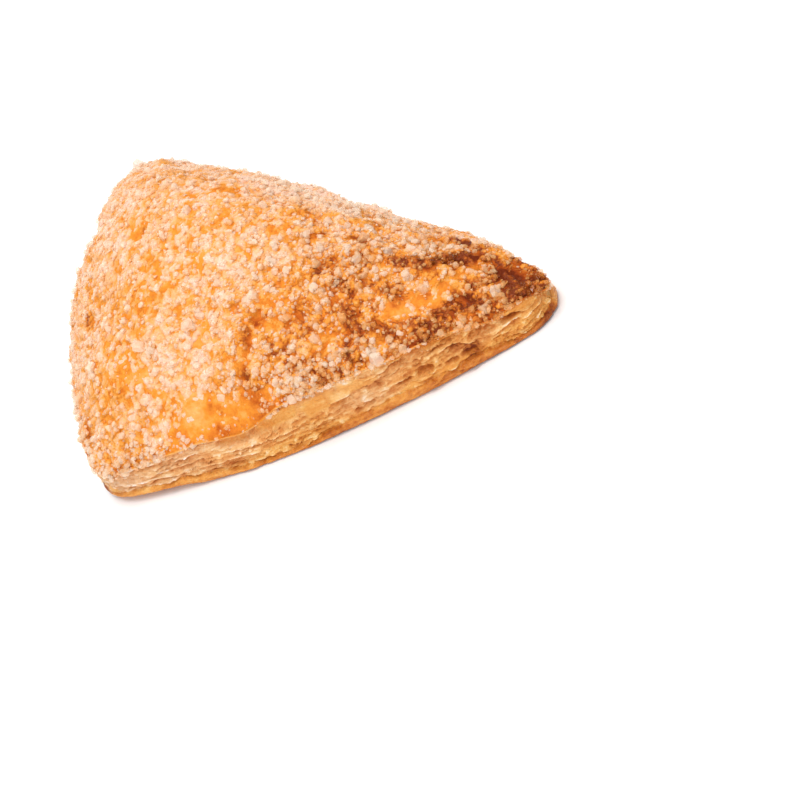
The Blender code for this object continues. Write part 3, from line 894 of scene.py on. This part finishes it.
# Blocks of three sizes: size in mm, share of the height and of the tone
BLOCKS = ((2.8, 0.30, 0.20), (1.6, 0.55, 0.45), (0.9, 0.28, 0.35))
COAT_THICKNESS = 0.9 * mm
bend = np.stack([clouds(coat_ground, 1.3 * mm, 73 + axis, 2) for axis in range(3)], axis=-1)
bent = coat_ground + 0.35 * mm * bend
coat = np.zeros(found.shape)
coat_tone = np.full(found.shape, 0.02)
for seed, (size, height_share, tone_share) in enumerate(BLOCKS, 76):
    block, block_tone = packed_blocks(bent, size * mm, seed)
    coat += height_share * block
    coat_tone += (0.85 * height_share + tone_share * (block_tone - 0.5)) * block
coat_height = (coat - 0.20 - 0.75 * (1.0 - coat_cover)) * (1.0 - coat_end) - 0.5 * coat_end
thick = np.clip(coat_height, -0.4, 1.4) * COAT_THICKNESS
coat_browning = 0.66 * np.tanh((coat_toast - 0.435) * 3.0)
coat_places = (coat_ground + unit(coat_up) * thick[..., None]).reshape(-1, 3)
number_of = np.arange(found.size).reshape(found.shape)
corner, beside, across, behind = (
    number_of[:-1, :-1], number_of[1:, :-1], number_of[1:, 1:], number_of[:-1, 1:]
)
whole = found[:-1, :-1] & found[1:, :-1] & found[:-1, 1:] & found[1:, 1:]
coat_faces = np.concatenate((np.stack((corner, beside, across), axis=-1)[whole],
                             np.stack((corner, across, behind), axis=-1)[whole]))


def closed_to(faces, hub):
    """The faces and, from each of their open edges, one more face to the hub."""
    edges = faces[:, [0, 1, 1, 2, 2, 0]].reshape(-1, 2)
    pair = np.sort(edges, axis=1)
    key = pair[:, 0] * (hub + 1) + pair[:, 1]
    _, first, times = np.unique(key, return_index=True, return_counts=True)
    rim_edges = edges[first[times == 1]]
    return np.vstack((faces, np.column_stack((rim_edges[:, ::-1], np.full(len(rim_edges), hub)))))


# The coat from burnt syrup in its gaps to dull pale sugar on its tops
COAT_SHADES = (
    (0.00, (0.19, 0.030, 0.003)),
    (0.14, (0.36, 0.072, 0.006)),
    (0.28, (0.56, 0.150, 0.012)),
    (0.40, (0.70, 0.235, 0.022)),
    (0.54, (0.76, 0.31, 0.055)),
    (0.70, (0.82, 0.41, 0.17)),
    (0.85, (0.86, 0.49, 0.30)),
    (1.00, (0.88, 0.57, 0.43)),
)
coat_finish = Finish("sugar_coat", Roughness=0.35, Specular_IOR_Level=0.15)
grainy = coat_finish.speckle(0.0006, 3.0, 0.6)
# Grains about a millimetre across, as cells with soft bent edges
shift = coat_finish.node(
    "ShaderNodeTexNoise", inputs={"Vector": coat_finish.place(), "Scale": 900.0}, output="Color"
)
shifted = coat_finish.node(
    "ShaderNodeVectorMath", {"operation": "MULTIPLY_ADD"},
    {0: shift, 1: (0.0009, 0.0009, 0.0009), 2: coat_finish.place()},
)
cells = coat_finish.node(
    "ShaderNodeTexVoronoi", {"feature": "DISTANCE_TO_EDGE"}, {"Vector": shifted, "Scale": 850.0}
)
grain = cells.maths("MINIMUM", cells * 5.0, 1.0)
browned = coat_finish.attribute("browning")
pale = coat_finish.attribute("tone") + (grainy - 0.5) * 0.32 + (grain - 0.75) * 0.15
pale = pale * (0.6 + 0.35 * browned) + 0.40 - 1.18 * browned
coat_finish.wear(Base_Color=coat_finish.shades(pale, COAT_SHADES),
                 Normal=coat_finish.raised(grainy * 0.8 + grain * 0.22, 0.0005, 0.85))

# It is split along X into two halves, and each is closed to a hub inside the pastry
HUB_HEIGHT = 15.0 * mm
SPLIT_AT = 4.0 * mm
hub_place = np.array((*peak, HUB_HEIGHT))
on_right = coat_places[coat_faces].mean(axis=1)[:, 0] > SPLIT_AT
for name, half in (("sugar_coat_left", ~on_right), ("sugar_coat_right", on_right)):
    used, part_faces = np.unique(closed_to(coat_faces[half], len(coat_places)), return_inverse=True)
    coat_piece = solid_piece(
        name,
        np.vstack((coat_places, hub_place))[used],
        part_faces.reshape(-1, 3),
        tone=np.append(coat_tone, 0.0)[used],
        browning=np.append(coat_browning, 0.0)[used],
    )
    coat_piece.data.materials.append(coat_finish.material)
    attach(coat_piece, "root")

# ---------------------------------------------------------------------------------------------
# The loose sugar.  Clear blocky crystals of half a millimetre to two, strewn last, lie half sunk on
# the coat: singly, in streaks, and in lumps that hang over the rim.  Each is a bevelled block or a
# pebble whose corners are shaken by chance.

# Where lumps sit: hanging over the rim, in the thickest streaks and here and there elsewhere
lumpy = np.zeros(cover.shape)
over_rim = smooth_step(from_apex, 20.0, 17.0) * smooth_step(from_apex, -30.0, -20.0)
over_rim += 0.7 * smooth_step(from_apex, 48.0, 54.0) * smooth_step(from_apex, 100.0, 80.0)
lumpy[DOME_RINGS - 4:DOME_RINGS + 1] = over_rim
for start, end, width, amount in STREWN:
    if amount >= 0.3:
        lumpy += 1.2 * amount * streak(sugar_ground, start, end, width)
lumpy += 0.10 * cover

# Even on pale dough sugar browns a little
LEAST_TOAST = 0.44


def sow(count, spacing, power, seed, amount):
    """Chance places on the ground, drawn by cell area times the amount there raised to a power.

    Of several places in one cube of the spacing's side only the first is kept, and of those in a
    gap of the coat only a fifth.  Each comes with its normal, its browning and the coat's tone.
    """
    draw = np.random.default_rng(seed)
    across = np.diff(sugar_ground, axis=0)
    round_it = np.roll(sugar_ground, -1, axis=1)[:-1] - sugar_ground[:-1]
    area = np.linalg.norm(np.cross(across, round_it), axis=-1)
    odds = (area * amount[:-1] ** power).ravel()
    cell = draw.choice(odds.size, size=count, p=odds / odds.sum())
    ring, step = np.divmod(cell, AROUND)
    down, over = draw.random((2, count))[..., None]
    after = (step + 1) % AROUND

    def between(grid):
        """The grid's values inside the cells, mixed from their four corners."""
        near_side = grid[ring, step] * (1.0 - over) + grid[ring, after] * over
        far_side = grid[ring + 1, step] * (1.0 - over) + grid[ring + 1, after] * over
        return near_side * (1.0 - down) + far_side * down

    places = between(sugar_ground)
    normals = between(sugar_normal)
    column, row = np.rint((places[:, :2] - (foot.x, foot.y)) / COAT_STEP).astype(int).T
    column = np.clip(column, 0, len(columns) - 1)
    row = np.clip(row, 0, len(rows) - 1)
    on_top = ring < DOME_RINGS + 5
    on_coat = np.where(found[column, row] & on_top, np.maximum(thick[column, row], 0.0), 0.0)
    places = places + normals * on_coat[:, None]
    box = np.floor(places / spacing).astype(np.int64)
    kept = np.sort(np.unique(cell_number(box), return_index=True)[1])
    in_gap = (on_coat[kept] < 0.12 * mm) & (ring[kept] < DOME_RINGS - 6)
    kept = kept[~(in_gap & (draw.random(len(kept)) < 0.8))]
    toasted = np.maximum(skin_toast[ring, step], LEAST_TOAST)
    paleness = np.where(on_top, coat_tone[column, row], 0.55)
    return places[kept], normals[kept], toasted[kept], paleness[kept]


def form_arrays(form):
    """The form's corners and triangles, facing outwards, as arrays."""
    form.verts.index_update()
    bmesh.ops.recalc_face_normals(form, faces=form.faces)
    corners = np.array([vertex.co[:] for vertex in form.verts])
    triangles = np.array([[vertex.index for vertex in face.verts] for face in form.faces])
    form.free()
    # The order of the faces can change from run to run, so it is set by their lowest corners
    lowest = triangles.argmin(axis=1)[:, None]
    turned = np.take_along_axis(triangles, (lowest + np.arange(3)) % 3, axis=1)
    return corners, turned[np.lexsort(turned.T[::-1])]


def block_form():
    """A cube with its edges bevelled flat, as corners and triangles."""
    form = bmesh.new()
    bmesh.ops.create_cube(form, size=2.0)
    bmesh.ops.bevel(form, geom=form.edges[:], offset=0.42, segments=1, affect="EDGES")
    bmesh.ops.triangulate(form, faces=form.faces[:])
    return form_arrays(form)


def grit_form():
    """A twenty-sided pebble, as corners and triangles."""
    form = bmesh.new()
    bmesh.ops.create_icosphere(form, subdivisions=1, radius=1.0)
    return form_arrays(form)


def crystals(name, form, sown, size, spread, lift, tilt, flatness, paler, seed):
    """One crystal at each sown place: the form with its corners shaken, stretched, tilted and sunk.

    Its own upright leans from the ground's normal by chance, times the tilt, and it is flattened
    along that.  Its radius is half the size times e to a chance power, and it is raised by the
    lift, in radii.  Its tone grows from its foot to its top, a painted highlight on the top and
    painted shade at the foot, and with the tone of the coat below.
    """
    corners, triangles = form
    places, normals, toasted, paleness = sown
    draw = np.random.default_rng(seed)
    many = len(places)
    upright = unit(normals + tilt * draw.normal(size=(many, 3)))
    sideways = unit(np.cross(upright, draw.normal(size=(many, 3))))
    turn = np.stack((sideways, np.cross(upright, sideways), upright), axis=-1)
    radius = size / 2.0 * np.exp(draw.normal(size=(many, 1)) * spread)
    stretch = radius * draw.uniform(0.75, 1.2, size=(many, 3)) * (1.0, 1.0, flatness)
    shaken = corners[None] * (1.0 + draw.normal(size=(many, len(corners), 3)) * 0.14)
    points = np.einsum("nij,nvj->nvi", turn, shaken * stretch[:, None, :])
    painted_light_rise = np.einsum("nvi,ni->nv", points, normals)
    painted_light_rise /= painted_light_rise.max(axis=1, keepdims=True)
    height = lift + 0.4 * draw.normal(size=(many, 1))
    points += (places + normals * radius * flatness * height)[:, None, :]
    faces = triangles[None] + (np.arange(many) * len(corners))[:, None, None]
    own_tone = 0.08 * height[:, 0] + 0.15 * draw.normal(size=many) + 0.35 * paleness - 0.18 + paler
    # Paler towards its top and darker at its foot: painted highlight and painted shade
    tone_with_painted_light = own_tone[:, None] + 0.28 * painted_light_rise
    grains = solid_piece(name, points.reshape(-1, 3), faces.reshape(-1, 3), smooth=False,
                         toast=np.repeat(toasted, len(corners)), tone=tone_with_painted_light.ravel())
    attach(grains, "root")
    return grains


# Sugar from burnt to clear white
SUGAR_SHADES = (
    (0.00, (0.26, 0.055, 0.008)),
    (0.20, (0.50, 0.130, 0.018)),
    (0.45, (0.80, 0.320, 0.072)),
    (0.65, (0.92, 0.495, 0.19)),
    (0.85, (0.93, 0.63, 0.38)),
    (1.00, (0.95, 0.77, 0.60)),
)
clear_sugar = Finish("sugar_crystal", Roughness=0.12, Specular_IOR_Level=0.25, Alpha=0.45)
clearness = 0.82 + (clear_sugar.speckle(0.0007) - 0.5) * 0.5 + clear_sugar.attribute("tone") * 0.8
clearness -= (clear_sugar.attribute("toast") - 0.42) * 1.2
clear_sugar.wear(Base_Color=clear_sugar.shades(clearness, SUGAR_SHADES))

# More of it is loose towards the right end and near the rim
loose = 0.35 + 0.65 * smooth_step(sugar_ground[..., 0], -10.0 * mm, 30.0 * mm)
near_rim = smooth_step(np.arange(SUGARED_RINGS), DOME_RINGS - 14, DOME_RINGS - 6)[:, None]
loose = np.maximum(loose, near_rim)
# Form, number, spacing and size in mm, spread, lift, tilt, flatness, paleness, power and where
SUGARS = (
    ("sugar_coarse", block_form(), 600, 1.4, 1.30, 0.25, -0.35, 0.9, 0.8, 0.12, 1.5, cover),
    ("sugar_medium", grit_form(), 4600, 0.5, 1.10, 0.25, -0.45, 0.35, 0.6, 0.0, 1.2, cover * loose),
    ("sugar_small", grit_form(), 7500, 0.3, 0.60, 0.25, -0.1, 0.6, 0.7, 0.0, 0.9, cover * loose),
    ("sugar_lumps", grit_form(), 2600, 0.7, 1.25, 0.25, 0.0, 0.8, 0.8, 0.13, 1.0, lumpy),
)
for seed, (name, form, count, spacing, size, *shape, power, amount) in enumerate(SUGARS, 80):
    sown = sow(count, spacing * mm, power, seed, amount)
    grains = crystals(name, form, sown, size * mm, *shape, seed)
    grains.data.materials.append(clear_sugar.material)

# ---------------------------------------------------------------------------------------------
# The stage.  A plain pale floor, a white room all round and three square lights: a soft one high up
# behind, a small hard one for the sugar's sparkle and a fill from the right.  The camera stands to
# the right of the apex, looks down on the pastry and is rolled.

floor = solid_piece(
    "floor",
    np.array(((-4.0, -4.0, 0.0), (4.0, -4.0, 0.0), (4.0, 4.0, 0.0), (-4.0, 4.0, 0.0))),
    np.array(((0, 1, 2), (0, 2, 3))),
)
paper = Finish("pale_floor", Roughness=0.9, Base_Color=(0.93, 0.93, 0.93, 1.0))
floor.data.materials.append(paper.material)

world = bpy.data.worlds.new("soft_room")
world.use_nodes = True
room = world.node_tree.nodes["Background"]
room.inputs["Color"].default_value = (1.0, 1.0, 1.0, 1.0)
room.inputs["Strength"].default_value = 0.47
bpy.context.scene.world = world


def softbox(name, place, target, width, power):
    """A square area light at the place, facing the target, in metres and watts."""
    lamp = bpy.data.lights.new(name, "AREA")
    lamp.size = width
    lamp.energy = power
    box = bpy.data.objects.new(name, lamp)
    bpy.context.scene.collection.objects.link(box)
    box.location = place
    box.rotation_euler = (Vector(target) - Vector(place)).to_track_quat("-Z", "Y").to_euler()


softbox("key", (-0.10, 0.10, 0.90), (0.0, 0.0, 0.02), 0.8, 7.7)
softbox("glint", (0.25, -0.30, 0.85), (0.0, 0.0, 0.02), 0.10, 1.1)
softbox("fill", (0.65, -0.50, 0.45), (0.0, 0.0, 0.01), 0.8, 3.9)

camera = bpy.data.objects.new("camera", bpy.data.cameras.new("camera"))
bpy.context.scene.collection.objects.link(camera)
AZIMUTH, ELEVATION, ROLL = np.radians((69.67, 34.24, -37.93))
AIM = Vector((28.3, 12.0, -17.0)) * mm
DISTANCE = 700.0 * mm
camera.data.lens = 154.1                 # for a distance at which the edges hardly converge
camera.data.sensor_width = 36.0
camera.data.clip_end = 10.0
back = Vector((
    np.sin(AZIMUTH) * np.cos(ELEVATION), -np.cos(AZIMUTH) * np.cos(ELEVATION), np.sin(ELEVATION)
))
level_right = Vector((0.0, 0.0, 1.0)).cross(back).normalized()
right = level_right * np.cos(ROLL) + back.cross(level_right) * np.sin(ROLL)
up = back.cross(right)
turned = Matrix((right, up, back)).transposed().to_4x4()
camera.matrix_world = Matrix.Translation(AIM + back * DISTANCE) @ turned
bpy.context.scene.camera = camera
bpy.context.scene.view_settings.view_transform = "Standard"
